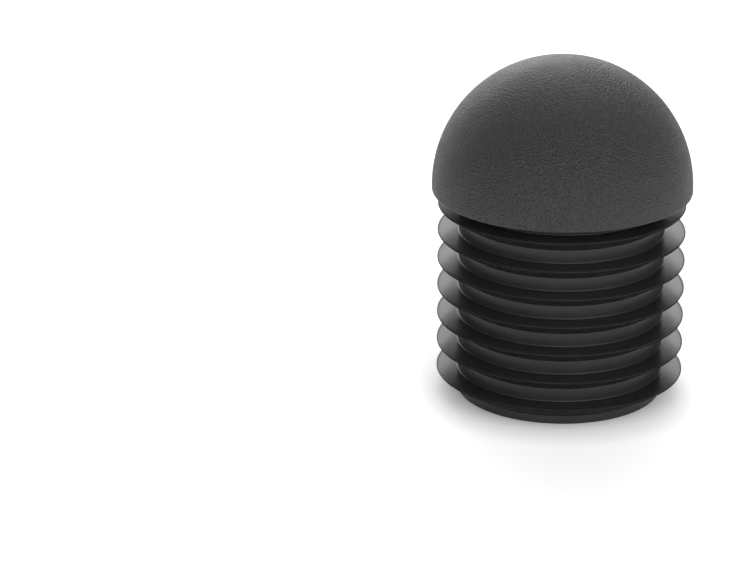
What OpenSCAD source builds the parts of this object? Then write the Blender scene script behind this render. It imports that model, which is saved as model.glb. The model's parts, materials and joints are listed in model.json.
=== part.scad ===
// Domed, ribbed end cap for a round tube, moulded in one piece in flexible black plastic.
// The ribbed stem pushes into the tube, its fins fold back against the wall, and the
// underside of the dome comes to rest on the tube's cut end.
// Millimetres, +Z up. The origin is the centre of the open mouth, on which the cap stands.

/* [Dome] */
// Diameter of the dome, the same as the outside of the tube
dome_d = 25; // [14:0.5:60]
// Height of the straight band below the dome's widest circle
dome_band = 0.3; // [0.1:0.05:1.5]
// Radius of the rounded lower edge of the dome, no more than the seat's width
dome_edge_r = 0.1; // [0.05:0.05:1]
// Width of the seat under the dome's edge, which covers the wall of the tube
seat_w = 0.6; // [0.2:0.05:3]
// Drop of the dome's underside from the seat inwards to the stem
seat_cone_h = 0.3; // [0.1:0.05:1.1]

/* [Fins] */
// Number of fins on the stem
fin_count = 7; // [1:1:12]
// How far the fins' rims stand out past the tube's bore before they go into it
fin_proud = 0; // [0:0.05:2]
// Distance from one fin to the next
fin_pitch = 2.8; // [1.8:0.1:6]
// Distance from the flat top of the last fin to the dome's underside
dome_gap = 1.25; // [0.5:0.05:6]
// Thickness of a fin at its rim
fin_rim_t = 0.2; // [0.1:0.05:0.6]
// Height of the sloping face under a fin
fin_slope_h = 1.25; // [0.4:0.05:2.2]
// Radius of the small fillet where a fin's flat face meets the stem, no more than the fin's reach
fin_root_r = 0.12; // [0.05:0.01:0.5]

/* [Stem] */
// Distance that the stem's wall stands back from the tube's bore
stem_inset = 2.05; // [0.3:0.05:5]
// Height of the plain neck between the mouth and the first fin's sloping face
neck_h = 0.85; // [0.4:0.05:5]
// Wall thickness of the stem at the mouth
mouth_wall = 0.75; // [0.6:0.05:2.5]
// Radius of the rounded outer edge of the mouth
mouth_edge_r = 0.15; // [0.05:0.05:0.5]

/* [Hollow] */
// Draft on each side of the hollow, in degrees
hollow_draft = 0.5; // [0.1:0.1:2]

/* [Hidden] */
$fn = 128;

// Overlap of neighbouring sections, so that they join into one
lap = 0.5;

// Radii, from the dome inwards
dome_r = dome_d / 2;
bore_r = dome_r - seat_w;
fin_r = bore_r + fin_proud;
stem_r = bore_r - stem_inset;

// Fillets that end where the face beside them does
edge_r = min(dome_edge_r, seat_w);
root_r = min(fin_root_r, fin_r - stem_r);

// Heights above the mouth
first_fin_top = neck_h + fin_slope_h + fin_rim_t;
last_fin_top = first_fin_top + (fin_count - 1) * fin_pitch;
dome_underside = last_fin_top + dome_gap;
band_bottom = dome_underside + edge_r;
dome_centre = band_bottom + dome_band;

// The hollow narrows upwards and ends in a half sphere about the dome's own centre
hollow_mouth_r = stem_r - mouth_wall;
hollow_top_r = hollow_mouth_r - dome_centre * tan(hollow_draft);

// Upper right quarter of a disc about the origin
module quarter_disc(r) {
    intersection() {
        circle(r = r);
        square(r + lap);
    }
}

// Half section of a block from the axis out to r, with its lower outer edge rounded
module rounded_block_section(r, height, corner_r) {
    translate([0, corner_r]) square([r, height - corner_r]);
    square([r - corner_r, corner_r]);
    translate([r - corner_r, corner_r]) mirror([0, 1]) quarter_disc(corner_r);
}

// Half section of the dome, with its straight band and the rounded lower edge
module dome_section() {
    translate([0, dome_centre]) quarter_disc(dome_r);
    translate([0, dome_underside]) rounded_block_section(dome_r, edge_r + dome_band, edge_r);
}

// Half section of the shallow cone inside the seat, where the stem runs into the dome
module seat_cone_section() {
    translate([0, dome_underside]) polygon([
        [stem_r - lap, -seat_cone_h],
        [stem_r, -seat_cone_h],
        [bore_r, 0],
        [stem_r - lap, lap]
    ]);
}

// Half section of a fin with a straight rim and a sloping underside.
// Its flat top lies at the given height above the mouth.
module fin_section(top) {
    translate([0, top]) polygon([
        [stem_r - lap, -fin_rim_t - fin_slope_h],
        [stem_r, -fin_rim_t - fin_slope_h],
        [fin_r, -fin_rim_t],
        [fin_r, 0],
        [stem_r - lap, 0]
    ]);
}

// Fillet between a fin's flat top and the stem
module root_fillet_section(top) {
    translate([stem_r, top]) difference() {
        square(root_r);
        translate([root_r, root_r]) circle(r = root_r);
    }
}

// Half section of the straight stem, with the rounded outer edge of its mouth
module stem_section() {
    rounded_block_section(stem_r, dome_underside, mouth_edge_r);
}

// Half section of the hollow, open at the mouth
module hollow_section() {
    below = [hollow_mouth_r + lap * tan(hollow_draft), -lap];
    polygon([[0, -lap], below, [hollow_top_r, dome_centre], [0, dome_centre]]);
    translate([0, dome_centre]) quarter_disc(hollow_top_r);
}

module end_cap() {
    color("#2b2b2d") rotate_extrude() difference() {
        union() {
            dome_section();
            stem_section();
            seat_cone_section();
            for (i = [0 : fin_count - 1]) {
                fin_top = first_fin_top + i * fin_pitch;
                fin_section(fin_top);
                root_fillet_section(fin_top);
            }
        }
        hollow_section();
    }
}

end_cap();
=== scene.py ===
"""Domed end cap of a round tube, with seven thin fins, standing on its open mouth on a white table.

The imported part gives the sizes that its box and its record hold. The moulding is modelled anew
round them, with the small edge radii that a mould has: its half outline is drawn in the XZ plane
and spun about the axis. It wears spark-eroded grain on the dome, smooth skin on the stem, and
smoky skin on the fins, which let light through. The fins' rims are matt, and so is the stem where
a fin grows out of it, because there is no surface between them. Soft patches of light in the
white surroundings shade the dome as in the photograph.
"""

from __future__ import annotations

import json
import logging
import math
from dataclasses import dataclass
from enum import Enum
from typing import Any

import bpy
from mathutils import Matrix, Vector

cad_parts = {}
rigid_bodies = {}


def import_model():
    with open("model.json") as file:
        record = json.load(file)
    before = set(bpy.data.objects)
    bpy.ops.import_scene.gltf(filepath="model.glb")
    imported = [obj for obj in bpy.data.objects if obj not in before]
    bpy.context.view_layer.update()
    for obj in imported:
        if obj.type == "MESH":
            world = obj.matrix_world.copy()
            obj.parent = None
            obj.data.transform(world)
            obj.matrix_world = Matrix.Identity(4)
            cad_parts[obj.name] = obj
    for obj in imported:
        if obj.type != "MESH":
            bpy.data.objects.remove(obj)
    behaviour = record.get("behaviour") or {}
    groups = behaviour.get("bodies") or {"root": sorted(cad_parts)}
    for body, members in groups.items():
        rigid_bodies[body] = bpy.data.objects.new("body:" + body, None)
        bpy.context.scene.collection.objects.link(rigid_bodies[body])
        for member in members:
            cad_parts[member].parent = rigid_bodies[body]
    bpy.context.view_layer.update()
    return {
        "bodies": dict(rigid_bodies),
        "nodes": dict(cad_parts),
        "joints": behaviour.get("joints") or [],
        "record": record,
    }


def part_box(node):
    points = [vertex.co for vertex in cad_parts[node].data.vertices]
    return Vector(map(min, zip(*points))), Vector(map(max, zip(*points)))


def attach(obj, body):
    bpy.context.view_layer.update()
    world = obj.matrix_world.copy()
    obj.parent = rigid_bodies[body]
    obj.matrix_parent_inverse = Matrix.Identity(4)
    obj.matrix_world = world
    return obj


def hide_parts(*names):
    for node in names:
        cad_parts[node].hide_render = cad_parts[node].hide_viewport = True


LOG = logging.getLogger("end_cap")

NODE = "end_cap"
BODY = "root"

# The moulding is drawn in millimetres and brought to metres when it is done
MM = 0.001

WHITE = (1.0, 1.0, 1.0, 1.0)

# Most of a noise texture's values lie between these two
NOISE_LOW = 0.3
NOISE_HIGH = 0.7

# Places of the colour sockets among those of a Mix node
MIX_COLOUR_A = 6
MIX_COLOUR_B = 7
MIX_COLOUR_RESULT = 2

Colour = tuple[float, float, float]


class Zone(Enum):
    """The finishes that a face can wear."""

    SKIN = "smooth skin"
    MATT = "without shine"
    GRAIN = "grained dome"
    SMOKE = "smoky plastic"


def deselect_all() -> None:
    """Leaves edit mode, and no object selected, so that an operator acts on the new piece alone."""
    if bpy.context.object is not None and bpy.context.object.mode != "OBJECT":
        bpy.ops.object.mode_set(mode="OBJECT")
    bpy.ops.object.select_all(action="DESELECT")


@dataclass(frozen=True)
class CapSizes:
    """The cap's sizes, in millimetres. Heights are above the mouth.

    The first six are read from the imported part. The fins' edge radius, matt rim and seated root
    and the hollow's edge radius are this model's own, and the rest are those that the part was
    drawn with.

    Attributes:
        dome_r: Radius of the dome.
        top_z: Height of the dome's top.
        insert_r: Radius of the fins' rims.
        seat_z: Height of the dome's underside, which rests on the tube.
        lowest_rim_z: Height of the lowest fin's rim, at its lower edge.
        rim_mid_r: Radius of the middle of the flat rim round the mouth.
        dome_edge_r: Radius of the rounding at the dome's lower edge.
        seat_cone_h: Fall of the dome's underside from the seat to the stem.
        fin_count: Number of fins.
        fin_pitch: Distance from fin to fin.
        fin_rim_t: Thickness of a fin at its rim.
        fin_edge_r: Radius of the roundings above and below the rim.
        matt_rim_w: Width of the matt border of a fin's underside.
        slope_h: Height of a fin's sloping underside.
        root_r: Radius of the fillet on top of a fin's root.
        root_depth: How deep a fin's root is seated in the stem's wall.
        stem_inset: How far the stem lies inside the fins' rims.
        mouth_edge_r: Radius of the rounding outside the mouth.
        mouth_flat_w: Width of the flat rim round the mouth.
        hollow_edge_r: Radius of the rounding inside the mouth.
        hollow_draft: Angle by which the hollow's wall leans inwards, in degrees.
    """

    dome_r: float
    top_z: float
    insert_r: float
    seat_z: float
    lowest_rim_z: float
    rim_mid_r: float
    dome_edge_r: float = 0.1
    seat_cone_h: float = 0.3
    fin_count: int = 7
    fin_pitch: float = 2.8
    fin_rim_t: float = 0.2
    fin_edge_r: float = 0.09
    matt_rim_w: float = 0.15
    slope_h: float = 1.25
    root_r: float = 0.12
    root_depth: float = 0.05
    stem_inset: float = 2.05
    mouth_edge_r: float = 0.15
    mouth_flat_w: float = 0.6
    hollow_edge_r: float = 0.08
    hollow_draft: float = 0.5

    @classmethod
    def from_frame(cls, frame: dict[str, Any]) -> CapSizes:
        """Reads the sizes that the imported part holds.


        Returns:
            The sizes.
        """
        low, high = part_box(NODE)
        mounts = {m["name"]: m for m in frame["record"]["mounts"]}
        fins, mouth = mounts["fins"], mounts["mouth_rim"]
        middle = fins["pos_m"][2] / MM
        half_length = fins["dims"]["length_mm"] / 2
        return cls(
            dome_r=high.x / MM,
            top_z=(high.z - low.z) / MM,
            insert_r=fins["dims"]["r_mm"],
            seat_z=mounts["tube_seat"]["pos_m"][2] / MM,
            lowest_rim_z=middle - half_length,
            rim_mid_r=mouth["pos_m"][0] / MM,
        )

    @property
    def dome_centre_z(self) -> float:
        """Height of the dome's centre."""
        return self.top_z - self.dome_r

    @property
    def stem_r(self) -> float:
        """Radius of the stem between the fins."""
        return self.insert_r - self.stem_inset

    @property
    def hollow_mouth_r(self) -> float:
        """Radius of the hollow at the mouth."""
        return self.rim_mid_r - self.mouth_flat_w / 2

    @property
    def hollow_top_r(self) -> float:
        """Radius of the hollow where its round end begins."""
        return self.hollow_mouth_r - self.dome_centre_z * math.tan(math.radians(self.hollow_draft))

    @property
    def slope(self) -> float:
        """Rise of a fin's underside for each millimetre outwards."""
        return self.slope_h / self.stem_inset

    def root_heights(self, number: int) -> tuple[float, float]:
        """Tells where a fin grows out of the stem.

        Args:
            number: The fin's number, 0 for the lowest.

        Returns:
            The heights of its root's underside and top.
        """
        rim_z = self.lowest_rim_z + number * self.fin_pitch
        return rim_z - self.slope_h, rim_z + self.fin_rim_t


@dataclass
class OutlinePen:
    """Draws an outline in the XZ plane, in millimetres, with one vertex as its point.

    The vertex is extruded along straight stretches and spun about the centre of round ones.

    Attributes:
        r: Distance of the pen's point from the axis.
        z: Height of the pen's point.
    """

    r: float
    z: float

    def __post_init__(self) -> None:
        """Puts down the pen: a plane is added at the first point and merged into one vertex."""
        deselect_all()
        bpy.ops.mesh.primitive_plane_add(size=1.0, location=(self.r, 0.0, self.z))
        bpy.ops.object.mode_set(mode="EDIT")
        bpy.ops.mesh.select_mode(type="VERT")
        bpy.ops.mesh.select_all(action="SELECT")
        bpy.ops.mesh.merge(type="CENTER")

    def line_to(self, r: float, z: float) -> None:
        """Draws a straight stretch.

        Args:
            r: Distance of its end from the axis.
            z: Height of its end.
        """
        step = (r - self.r, 0.0, z - self.z)
        bpy.ops.mesh.extrude_region_move(TRANSFORM_OT_translate={"value": step})
        self.r, self.z = r, z

    def arc_about(self, centre_r: float, centre_z: float, degrees: float, steps: int) -> None:
        """Draws a round stretch.

        Args:
            centre_r: Distance of the arc's centre from the axis.
            centre_z: Height of the arc's centre.
            degrees: Angle of the arc, positive from +Z towards +X.
            steps: Number of straight pieces in it.
        """
        bpy.ops.mesh.spin(
            steps=steps,
            angle=math.radians(degrees),
            center=(centre_r, 0.0, centre_z),
            axis=(0.0, -1.0, 0.0),
        )
        arm = Vector((self.r - centre_r, 0.0, self.z - centre_z))
        end = Matrix.Rotation(math.radians(degrees), 3, "Y") @ arm
        self.r, self.z = centre_r + end.x, centre_z + end.z


@dataclass
class Turning:
    """A piece that is spun about the axis from its outline.

    Attributes:
        name: Its name.
        sizes: The cap's sizes.
        round_steps: Number of flat pieces in a whole turn.
        edge_steps: Number of straight pieces in a small rounded edge.
        sharp_from: Least angle between two faces, in degrees, that stays a sharp corner.
    """

    name: str
    sizes: CapSizes
    round_steps: int = 256
    edge_steps: int = 5
    sharp_from: float = 35.0

    def draw(self) -> None:
        """Draws the outline."""
        raise NotImplementedError

    def zone_of(self, centre: Vector, normal: Vector) -> Zone:
        """Tells which finish a face wears.

        Args:
            centre: The face's centre, in millimetres.
            normal: Its normal.

        Returns:
            The face's zone.
        """
        raise NotImplementedError

    def build(self, finishes: dict[Zone, bpy.types.Material]) -> bpy.types.Object:
        """Models the piece and dresses it.

        Args:
            finishes: The material of each zone.

        Returns:
            The finished piece, in metres, at the origin.
        """
        self.draw()
        piece = self._spin_outline()
        self._dress(piece, finishes)
        bpy.ops.object.shade_smooth_by_angle(angle=math.radians(self.sharp_from))
        weighted = piece.modifiers.new("even flats", "WEIGHTED_NORMAL")
        weighted.keep_sharp = True
        bpy.ops.object.modifier_apply(modifier=weighted.name)
        piece.scale = (MM, MM, MM)
        bpy.ops.object.transform_apply(location=True, rotation=True, scale=True)
        piece.name = self.name
        piece.data.name = self.name
        return piece

    def _spin_outline(self) -> bpy.types.Object:
        """Spins the drawn outline about the axis and closes its seam and poles.

        Returns:
            The piece, in object mode, with its faces outwards.
        """
        closed_gap = 1e-4
        bpy.ops.mesh.select_all(action="SELECT")
        bpy.ops.mesh.remove_doubles(threshold=closed_gap)
        bpy.ops.mesh.spin(
            steps=self.round_steps,
            angle=math.tau,
            center=(0.0, 0.0, 0.0),
            axis=(0.0, 0.0, 1.0),
        )
        bpy.ops.mesh.select_all(action="SELECT")
        bpy.ops.mesh.remove_doubles(threshold=closed_gap)
        bpy.ops.mesh.normals_make_consistent(inside=False)
        bpy.ops.object.mode_set(mode="OBJECT")
        bpy.ops.object.transform_apply(location=True, rotation=True, scale=True)
        return bpy.context.object

    def _dress(self, piece: bpy.types.Object, finishes: dict[Zone, bpy.types.Material]) -> None:
        """Gives each zone that the piece has a material slot, and the zone's faces that slot.

        Args:
            piece: The piece, in millimetres.
            finishes: The material of each zone.
        """
        zones = [self.zone_of(face.center, face.normal) for face in piece.data.polygons]
        bpy.context.tool_settings.mesh_select_mode = (False, False, True)
        for zone in [z for z in Zone if z in zones]:
            for face, found in zip(piece.data.polygons, zones):
                face.select = found is zone
            bpy.ops.object.material_slot_add()
            piece.material_slots[-1].material = finishes[zone]
            bpy.ops.object.mode_set(mode="EDIT")
            bpy.ops.object.material_slot_assign()
            bpy.ops.object.mode_set(mode="OBJECT")


@dataclass
class Body(Turning):
    """The dome and the hollow stem.

    Attributes:
        dome_steps: Number of straight pieces in the dome's outline.
        hollow_steps: The same in the round end of the hollow.
    """

    dome_steps: int = 60
    hollow_steps: int = 30

    def draw(self) -> None:
        """Draws the dome, the stem, the mouth and the hollow, from the top round to its middle."""
        s = self.sizes
        pen = OutlinePen(0.0, s.top_z)
        edge_x, edge_z = s.dome_r - s.dome_edge_r, s.seat_z + s.dome_edge_r
        pen.arc_about(0.0, s.dome_centre_z, 90.0, self.dome_steps)
        pen.line_to(s.dome_r, edge_z)
        pen.arc_about(edge_x, edge_z, 90.0, 2 * self.edge_steps)
        pen.line_to(s.insert_r, s.seat_z)
        pen.line_to(s.stem_r, s.seat_z - s.seat_cone_h)
        for number in reversed(range(s.fin_count)):
            low_z, high_z = s.root_heights(number)
            pen.line_to(s.stem_r, high_z)
            pen.line_to(s.stem_r, low_z)
        pen.line_to(s.stem_r, s.mouth_edge_r)
        pen.arc_about(s.stem_r - s.mouth_edge_r, s.mouth_edge_r, 90.0, self.edge_steps)
        inner_r = s.hollow_mouth_r + s.hollow_edge_r
        pen.line_to(inner_r, 0.0)
        pen.arc_about(inner_r, s.hollow_edge_r, 90.0, self.edge_steps)
        pen.line_to(s.hollow_top_r, s.dome_centre_z)
        pen.arc_about(0.0, s.dome_centre_z, -90.0, self.hollow_steps)

    def zone_of(self, centre: Vector, normal: Vector) -> Zone:
        """Gives the grain to the dome's outside, and finds the stem inside the fins' roots."""
        s = self.sizes
        outward = normal.dot(centre - Vector((0.0, 0.0, s.dome_centre_z))) > 0.0
        if centre.z > s.seat_z + s.dome_edge_r and outward:
            return Zone.GRAIN
        roots = [s.root_heights(number) for number in range(s.fin_count)]
        in_root = any(low_z < centre.z < high_z for low_z, high_z in roots)
        on_stem = math.hypot(centre.x, centre.y) > s.hollow_mouth_r + s.hollow_edge_r
        return Zone.MATT if in_root and on_stem else Zone.SKIN


@dataclass
class Fin(Turning):
    """A thin fin round the stem: a flat top, a fillet at its root and a sloping underside.

    Its root is seated in the stem's wall.

    Attributes:
        rim_z: Height of the corner between the rim and the sloping underside, before it is
            rounded.
    """

    rim_z: float = 0.0

    @property
    def rim_turn(self) -> float:
        """Angle between the rim and the sloping underside, in degrees."""
        return 90.0 - math.degrees(math.atan(self.sizes.slope))

    def draw(self) -> None:
        """Draws the fin's section from its root over the top, the rim and the underside back."""
        s = self.sizes
        root = s.stem_r - s.root_depth
        edge_x = s.insert_r - s.fin_edge_r
        top_z = self.rim_z + s.fin_rim_t
        fillet_z = top_z + s.root_r
        lower_edge_z = self.rim_z + s.fin_edge_r * math.tan(math.radians(self.rim_turn) / 2)
        pen = OutlinePen(root, fillet_z)
        pen.line_to(s.stem_r, fillet_z)
        pen.arc_about(s.stem_r + s.root_r, fillet_z, -90.0, self.edge_steps)
        pen.line_to(edge_x, top_z)
        pen.arc_about(edge_x, top_z - s.fin_edge_r, 90.0, self.edge_steps)
        pen.line_to(s.insert_r, lower_edge_z)
        pen.arc_about(edge_x, lower_edge_z, self.rim_turn, self.edge_steps)
        for r in (s.insert_r - s.matt_rim_w, root):
            pen.line_to(r, self.rim_z - (s.insert_r - r) * s.slope)
        pen.line_to(root, fillet_z)

    def zone_of(self, centre: Vector, normal: Vector) -> Zone:
        """Makes the rim matt below its upper rounding, and gives the fillet the stem's skin."""
        s = self.sizes
        r = math.hypot(centre.x, centre.y)
        top_z = self.rim_z + s.fin_rim_t
        on_rim = r > s.insert_r - s.matt_rim_w and centre.z < top_z - s.fin_edge_r
        on_fillet = r < s.stem_r + s.root_r and centre.z > top_z
        if on_rim:
            return Zone.MATT
        return Zone.SKIN if on_fillet else Zone.SMOKE


@dataclass
class EndCap:
    """The whole cap, which is moulded in one piece. Its pieces here are seated in each other.

    Attributes:
        sizes: The cap's sizes.
        finishes: The material of each zone.
    """

    sizes: CapSizes
    finishes: dict[Zone, bpy.types.Material]

    def build(self) -> list[bpy.types.Object]:
        """Models the body and the fins.

        Returns:
            The pieces, in metres, at the origin.
        """
        return [Body("cap_body", self.sizes).build(self.finishes), *self._build_fins()]

    def _build_fins(self) -> list[bpy.types.Object]:
        """Models the lowest fin and copies it up the stem.

        Returns:
            The fins, the lowest first.
        """
        s = self.sizes
        fins = [Fin("fin_1", s, rim_z=s.lowest_rim_z).build(self.finishes)]
        for number in range(1, s.fin_count):
            bpy.ops.object.duplicate(linked=False)
            fin = bpy.context.object
            fin.location.z = s.fin_pitch * MM
            bpy.ops.object.transform_apply(location=True, rotation=False, scale=False)
            fin.name = f"fin_{number + 1}"
            fin.data.name = fin.name
            fins.append(fin)
        return fins


def new_group(name: str, inputs: dict[str, float], outputs: list[str]) -> bpy.types.NodeTree:
    """Makes a shader node group with plain number sockets.

    Args:
        name: The group's name.
        inputs: The inputs' names and their usual values.
        outputs: The outputs' names.

    Returns:
        The group, with its input and output nodes.
    """
    tree = bpy.data.node_groups.new(name, "ShaderNodeTree")
    for label, value in inputs.items():
        socket = tree.interface.new_socket(label, in_out="INPUT", socket_type="NodeSocketFloat")
        socket.default_value = value
    for label in outputs:
        tree.interface.new_socket(label, in_out="OUTPUT", socket_type="NodeSocketFloat")
    tree.nodes.new("NodeGroupInput").name = "In"
    tree.nodes.new("NodeGroupOutput").name = "Out"
    return tree


def math_node(
    tree: bpy.types.NodeTree, operation: str, *values: float | bpy.types.NodeSocket
) -> bpy.types.NodeSocket:
    """Adds a Math node.

    Args:
        tree: The tree that it goes into.
        operation: What it does.
        values: Its inputs, each a number or a socket.

    Returns:
        Its output socket.
    """
    node = tree.nodes.new("ShaderNodeMath")
    node.operation = operation
    for index, value in enumerate(values):
        if isinstance(value, bpy.types.NodeSocket):
            tree.links.new(value, node.inputs[index])
        else:
            node.inputs[index].default_value = value
    return node.outputs["Value"]


def mix_colours(
    tree: bpy.types.NodeTree, share: bpy.types.NodeSocket, dark: Colour, light: Colour
) -> bpy.types.NodeSocket:
    """Mixes two colours.

    Args:
        tree: The tree that the node goes into.
        share: The light colour's share.
        dark: The dark colour.
        light: The light colour.

    Returns:
        The output socket.
    """
    node = tree.nodes.new("ShaderNodeMix")
    node.data_type = "RGBA"
    node.inputs[MIX_COLOUR_A].default_value = (*dark, 1.0)
    node.inputs[MIX_COLOUR_B].default_value = (*light, 1.0)
    tree.links.new(share, node.inputs["Factor"])
    return node.outputs[MIX_COLOUR_RESULT]


def spread_noise(
    tree: bpy.types.NodeTree, noise: bpy.types.NodeSocket, low: float, high: float
) -> bpy.types.NodeSocket:
    """Spreads a noise over a range of its own.

    Args:
        tree: The tree that the node goes into.
        noise: The noise's socket.
        low: The result where the noise is low.
        high: The result where it is high.

    Returns:
        The output socket.
    """
    node = tree.nodes.new("ShaderNodeMapRange")
    node.inputs["From Min"].default_value = NOISE_LOW
    node.inputs["From Max"].default_value = NOISE_HIGH
    node.inputs["To Min"].default_value = low
    node.inputs["To Max"].default_value = high
    tree.links.new(noise, node.inputs["Value"])
    return node.outputs["Result"]


def grain_group() -> bpy.types.NodeTree:
    """Makes the grain that spark erosion leaves in a mould: small pits with soft heaps between.

    Returns:
        The group. Its Pitch is the width of a pit and its Drift that of a patch of tone, in
        metres. Height is for a bump, and Tone wanders slowly over the surface.
    """
    tree = new_group("spark_eroded_grain", {"Pitch": 0.00015, "Drift": 0.002}, ["Height", "Tone"])
    nodes, links = tree.nodes, tree.links
    place = nodes.new("ShaderNodeTexCoord").outputs["Object"]
    frequency = math_node(tree, "DIVIDE", 1.0, nodes["In"].outputs["Pitch"])
    slow = math_node(tree, "DIVIDE", 1.0, nodes["In"].outputs["Drift"])

    pits = nodes.new("ShaderNodeTexVoronoi")
    pits.feature = "SMOOTH_F1"
    pits.inputs["Smoothness"].default_value = 0.6
    heaps = nodes.new("ShaderNodeTexNoise")
    heaps.inputs["Detail"].default_value = 2.0
    heaps.inputs["Roughness"].default_value = 0.6
    tone = nodes.new("ShaderNodeTexNoise")
    tone.inputs["Detail"].default_value = 3.0
    for texture, scale in ((pits, frequency), (heaps, frequency), (tone, slow)):
        links.new(place, texture.inputs["Vector"])
        links.new(scale, texture.inputs["Scale"])

    both = math_node(tree, "ADD", pits.outputs["Distance"], heaps.outputs["Fac"])
    mean = math_node(tree, "DIVIDE", both, 2.0)
    links.new(mean, nodes["Out"].inputs["Height"])
    links.new(tone.outputs["Fac"], nodes["Out"].inputs["Tone"])
    return tree


class Finish:
    """A finish of the moulding, which makes its own material."""

    name: str

    def new_material(self) -> tuple[bpy.types.Material, bpy.types.Node]:
        """Makes an empty material.

        Returns:
            The material and its Principled BSDF.
        """
        material = bpy.data.materials.new(self.name)
        material.use_nodes = True
        return material, material.node_tree.nodes["Principled BSDF"]


@dataclass(frozen=True)
class MouldedSkin(Finish):
    """Black plastic with the mould's own surface on it.

    Attributes:
        name: The material's name.
        grain: The grain's node group.
        pitch: Width of a pit in the grain, in metres.
        depth: Depth of the grain, in metres.
        dark: Colour where the tone is low.
        light: Colour where the tone is high.
        roughness: Roughness at the two ends of the tone.
        shine: Specular level.
    """

    name: str
    grain: bpy.types.NodeTree
    pitch: float
    depth: float
    dark: Colour
    light: Colour
    roughness: tuple[float, float]
    shine: float = 0.5

    def build(self) -> bpy.types.Material:
        """Makes the material.

        Returns:
            The material.
        """
        material, shader = self.new_material()
        tree = material.node_tree
        grain = tree.nodes.new("ShaderNodeGroup")
        grain.node_tree = self.grain
        grain.inputs["Pitch"].default_value = self.pitch
        colour = mix_colours(tree, grain.outputs["Tone"], self.dark, self.light)
        rough = spread_noise(tree, grain.outputs["Tone"], *self.roughness)
        bump = tree.nodes.new("ShaderNodeBump")
        bump.inputs["Distance"].default_value = self.depth
        tree.links.new(grain.outputs["Height"], bump.inputs["Height"])
        tree.links.new(bump.outputs["Normal"], shader.inputs["Normal"])
        tree.links.new(colour, shader.inputs["Base Color"])
        tree.links.new(rough, shader.inputs["Roughness"])
        shader.inputs["Specular IOR Level"].default_value = self.shine
        return material


@dataclass(frozen=True)
class SmokySkin(Finish):
    """Plastic so thin that light comes through it, blurred and dimmed.

    Attributes:
        name: The material's name.
        tint: Share of the light that is left after both faces of a fin.
        tint_behind_painted_light: The same share for a fin seen through another, raised as painted
            light that
        stands in for the light that also enters between them.
        tint_in_shine_painted_shade: The same share where the fin is seen in the shine of the stem,
            low, as painted shade in that reflection.
        haze: Share of the light that the plastic scatters back.
        roughness: Roughness of the faces.
        ior: How strongly a fin bends the light that passes, low because its two faces lie close.
        gloss: Weight of the shine on top.
        gloss_roughness: Roughness of that shine.
    """

    name: str
    tint: float = 0.165
    tint_behind_painted_light: float = 0.55
    tint_in_shine_painted_shade: float = 0.02
    haze: float = 0.15
    roughness: float = 0.35
    ior: float = 1.05
    gloss: float = 0.2
    gloss_roughness: float = 0.2

    def build(self) -> bpy.types.Material:
        """Makes the material.

        Returns:
            The material.
        """
        material, shader = self.new_material()
        tree = material.node_tree
        path = tree.nodes.new("ShaderNodeLightPath").outputs
        inside = tree.nodes.new("ShaderNodeNewGeometry").outputs["Backfacing"]
        in_shine = math_node(tree, "SUBTRACT", path["Is Glossy Ray"], path["Is Transmission Ray"])
        in_shine = math_node(tree, "SUBTRACT", in_shine, inside)
        in_shine.node.use_clamp = True
        # Painted light: a fin seen through another fin lets more light through than it would.
        more_than_one_face = 1.5
        fin_passed = math_node(
            tree, "GREATER_THAN", path["Transmission Depth"], more_than_one_face
        )
        more = self.tint_behind_painted_light - self.tint
        share = math_node(tree, "MULTIPLY_ADD", fin_passed, more, self.tint)
        # Painted shade: where the stem's shine shows a fin, the fin lets almost no light through,
        # which darkens that reflection.
        less = self.tint_in_shine_painted_shade - self.tint
        share = math_node(tree, "MULTIPLY_ADD", in_shine, less, share)
        tree.links.new(share, shader.inputs["Base Color"])
        shader.inputs["Roughness"].default_value = self.roughness
        shader.inputs["IOR"].default_value = self.ior
        shader.inputs["Transmission Weight"].default_value = 1.0 - self.haze
        shader.inputs["Coat Weight"].default_value = self.gloss
        shader.inputs["Coat Roughness"].default_value = self.gloss_roughness
        return material


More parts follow.
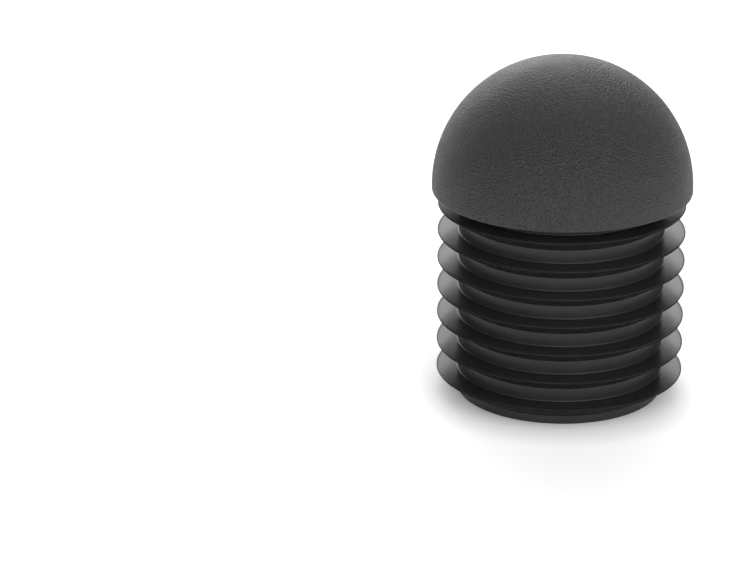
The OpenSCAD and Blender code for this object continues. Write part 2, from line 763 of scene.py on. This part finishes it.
@dataclass(frozen=True)
class Table:
    """The white table. It looks white to the eye and in reflections, and takes the cap's shadow,
    which painted light that grows away from the cap makes lighter.

    Attributes:
        half_width: Half its width, in metres.
        seen: Its colour as the camera, shiny surfaces and see-through ones show it.
        lit: Its colour as a reflector of light.
        roughness: Its roughness.
        near_painted_glow: Painted light that is added to its brightness where it is seen, near the
            cap.
        far_painted_glow: The same away from the cap, where the table is quite white.
        near: Distance from the cap's axis at which the painted glow begins to grow, in metres.
        far: Distance at which it is full, in metres.
    """

    half_width: float = 1.5
    seen: float = 1.0
    lit: float = 0.8
    roughness: float = 0.9
    near_painted_glow: float = 0.14
    far_painted_glow: float = 0.5
    near: float = 0.0098
    far: float = 0.0155

    def build(self) -> None:
        """Makes the table, just under the cap's mouth."""
        deselect_all()
        bpy.ops.mesh.primitive_plane_add(size=2 * self.half_width)
        table = bpy.context.object
        table.name = "table"
        material = bpy.data.materials.new("white_table")
        material.use_nodes = True
        tree = material.node_tree
        shader = tree.nodes["Principled BSDF"]
        shader.inputs["Roughness"].default_value = self.roughness
        shader.inputs["Specular IOR Level"].default_value = 0.0
        shader.inputs["Emission Color"].default_value = WHITE
        shown = shown_rays(tree)
        shade = math_node(tree, "MULTIPLY_ADD", shown, self.seen - self.lit, self.lit)
        # Painted light: the table glows where it is seen, more the farther it lies from the cap.
        glow = math_node(tree, "MULTIPLY", shown, self._painted_glow(tree))
        tree.links.new(shade, shader.inputs["Base Color"])
        tree.links.new(glow, shader.inputs["Emission Strength"])
        table.data.materials.append(material)

    def _painted_glow(self, tree: bpy.types.NodeTree) -> bpy.types.NodeSocket:
        """Makes the painted glow that grows with the distance from the cap.

        Args:
            tree: The tree of the table's material.

        Returns:
            The output socket.
        """
        distance = tree.nodes.new("ShaderNodeVectorMath")
        distance.operation = "LENGTH"
        place = tree.nodes.new("ShaderNodeTexCoord").outputs["Object"]
        tree.links.new(place, distance.inputs[0])
        growth = tree.nodes.new("ShaderNodeMapRange")
        growth.inputs["From Min"].default_value = self.near
        growth.inputs["From Max"].default_value = self.far
        growth.inputs["To Min"].default_value = self.near_painted_glow
        growth.inputs["To Max"].default_value = self.far_painted_glow
        tree.links.new(distance.outputs["Value"], growth.inputs["Value"])
        return growth.outputs["Result"]


def shown_rays(tree: bpy.types.NodeTree) -> bpy.types.NodeSocket:
    """Tells rays that show a surface from those that only carry light.

    Args:
        tree: The tree of a material.

    Returns:
        The output socket, 1 for camera, glossy and transmission rays.
    """
    path = tree.nodes.new("ShaderNodeLightPath").outputs
    shown = math_node(tree, "MAXIMUM", path["Is Camera Ray"], path["Is Glossy Ray"])
    return math_node(tree, "MAXIMUM", shown, path["Is Transmission Ray"])


@dataclass(frozen=True)
class Glow:
    """A soft patch of light in the surroundings.

    Attributes:
        towards: Direction to its middle, of length 1.
        strength: Its strength in the middle.
        sharpness: How quickly it fades away from there.
    """

    towards: tuple[float, float, float]
    strength: float
    sharpness: float


@dataclass(frozen=True)
class SoftLight:
    """Soft light from all round, with brighter and darker places.

    Attributes:
        seen: Strength of the surroundings where they are seen, through a fin too.
        even: Strength of their light in every direction.
        glows: What is added to that.
    """

    seen: float
    even: float
    glows: tuple[Glow, ...]

    def build(self) -> None:
        """Makes the world."""
        world = bpy.data.worlds.new("white_surroundings")
        world.use_nodes = True
        tree = world.node_tree
        place = tree.nodes.new("ShaderNodeTexCoord").outputs["Generated"]
        lit = self.even
        for glow in self.glows:
            nearness = tree.nodes.new("ShaderNodeVectorMath")
            nearness.operation = "DOT_PRODUCT"
            nearness.inputs[1].default_value = glow.towards
            tree.links.new(place, nearness.inputs[0])
            near = math_node(tree, "MAXIMUM", nearness.outputs["Value"], 0.0)
            patch = math_node(tree, "POWER", near, glow.sharpness)
            lit = math_node(tree, "MULTIPLY_ADD", patch, glow.strength, lit)
        path = tree.nodes.new("ShaderNodeLightPath").outputs
        shown = math_node(tree, "MAXIMUM", path["Is Camera Ray"], path["Is Transmission Ray"])
        strength = tree.nodes.new("ShaderNodeMix")
        strength.inputs["B"].default_value = self.seen
        tree.links.new(shown, strength.inputs["Factor"])
        tree.links.new(lit, strength.inputs["A"])
        background = tree.nodes["Background"]
        background.inputs["Color"].default_value = WHITE
        tree.links.new(strength.outputs["Result"], background.inputs["Strength"])
        bpy.context.scene.world = world


@dataclass(frozen=True)
class ProductCamera:
    """The camera, as it was fitted to the photograph. Lengths are in metres.

    Attributes:
        pitch: Angle that it looks down, in degrees.
        roll: Angle that it leans, in degrees.
        target_z: Height of the point on the cap's axis that the offsets are counted from.
        distance: Distance of that point along the view.
        right: How far right of the view's centre that point lies.
        up: How far above it.
        lens: Focal length, in millimetres, on a sensor 36 mm wide.
    """

    pitch: float = 20.81
    roll: float = 0.1351
    target_z: float = 0.0165
    distance: float = 0.37473
    right: float = 0.017918
    up: float = 0.0052695
    lens: float = 187.2

    def build(self) -> None:
        """Makes the camera and looks through it."""
        pitch, roll = math.radians(self.pitch), math.radians(self.roll)
        ahead = Vector((0.0, math.cos(pitch), -math.sin(pitch)))
        level_right = Vector((1.0, 0.0, 0.0))
        level_up = level_right.cross(ahead)
        right = level_right * math.cos(roll) + level_up * math.sin(roll)
        up = level_up * math.cos(roll) - level_right * math.sin(roll)
        place = Vector((0.0, 0.0, self.target_z))
        place -= self.distance * ahead + self.right * right + self.up * up
        data = bpy.data.cameras.new("product_camera")
        data.lens = self.lens
        data.sensor_width = 36.0
        camera = bpy.data.objects.new("product_camera", data)
        turn = Matrix((right, up, -ahead)).transposed().to_4x4()
        camera.matrix_world = Matrix.Translation(place) @ turn
        bpy.context.scene.collection.objects.link(camera)
        bpy.context.scene.camera = camera


def make_finishes() -> dict[Zone, bpy.types.Material]:
    """Makes the material of each zone.

    Returns:
        The materials.
    """
    grain = grain_group()
    skin = MouldedSkin(
        name="smooth_skin",
        grain=grain,
        pitch=0.0004,
        depth=0.000002,
        dark=(0.023, 0.023, 0.023),
        light=(0.03, 0.03, 0.03),
        roughness=(0.3, 0.36),
        shine=0.38,
    )
    matt = MouldedSkin(
        name="matt_plastic",
        grain=grain,
        pitch=0.0004,
        depth=0.000002,
        dark=(0.018, 0.018, 0.018),
        light=(0.024, 0.024, 0.024),
        roughness=(0.48, 0.52),
        shine=0.0,
    )
    grained = MouldedSkin(
        name="grained_dome",
        grain=grain,
        pitch=0.00018,
        depth=0.00034,
        dark=(0.031, 0.031, 0.031),
        light=(0.038, 0.038, 0.038),
        roughness=(0.46, 0.54),
    )
    smoke = SmokySkin(name="smoky_fins")
    return {
        Zone.SKIN: skin.build(),
        Zone.MATT: matt.build(),
        Zone.GRAIN: grained.build(),
        Zone.SMOKE: smoke.build(),
    }


def set_stage() -> None:
    """Puts the camera, the light and the table round the cap."""
    bpy.context.scene.view_settings.view_transform = "Standard"
    ProductCamera().build()
    low_behind = Glow(towards=(0.0, 0.993, 0.119), strength=3.39, sharpness=24.0)
    low_behind_left = Glow(towards=(-0.421, 0.902, 0.1), strength=1.78, sharpness=24.0)
    high_behind = Glow(towards=(0.0, 0.8, 0.6), strength=4.06, sharpness=14.0)
    front = Glow(towards=(0.0, -0.958, 0.287), strength=1.5, sharpness=3.0)
    front_right = Glow(towards=(0.677, -0.677, 0.29), strength=0.97, sharpness=4.0)
    glows = (low_behind, low_behind_left, high_behind, front, front_right)
    SoftLight(seen=1.0, even=0.07, glows=glows).build()
    Table().build()


def main() -> None:
    """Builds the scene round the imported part."""
    logging.basicConfig(level=logging.INFO, format="%(name)s: %(message)s")
    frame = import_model()
    set_stage()
    for piece in EndCap(CapSizes.from_frame(frame), make_finishes()).build():
        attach(piece, BODY)
        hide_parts(NODE)
        LOG.info("%s: %d faces", piece.name, len(piece.data.polygons))


if __name__ == "__main__":
    main()
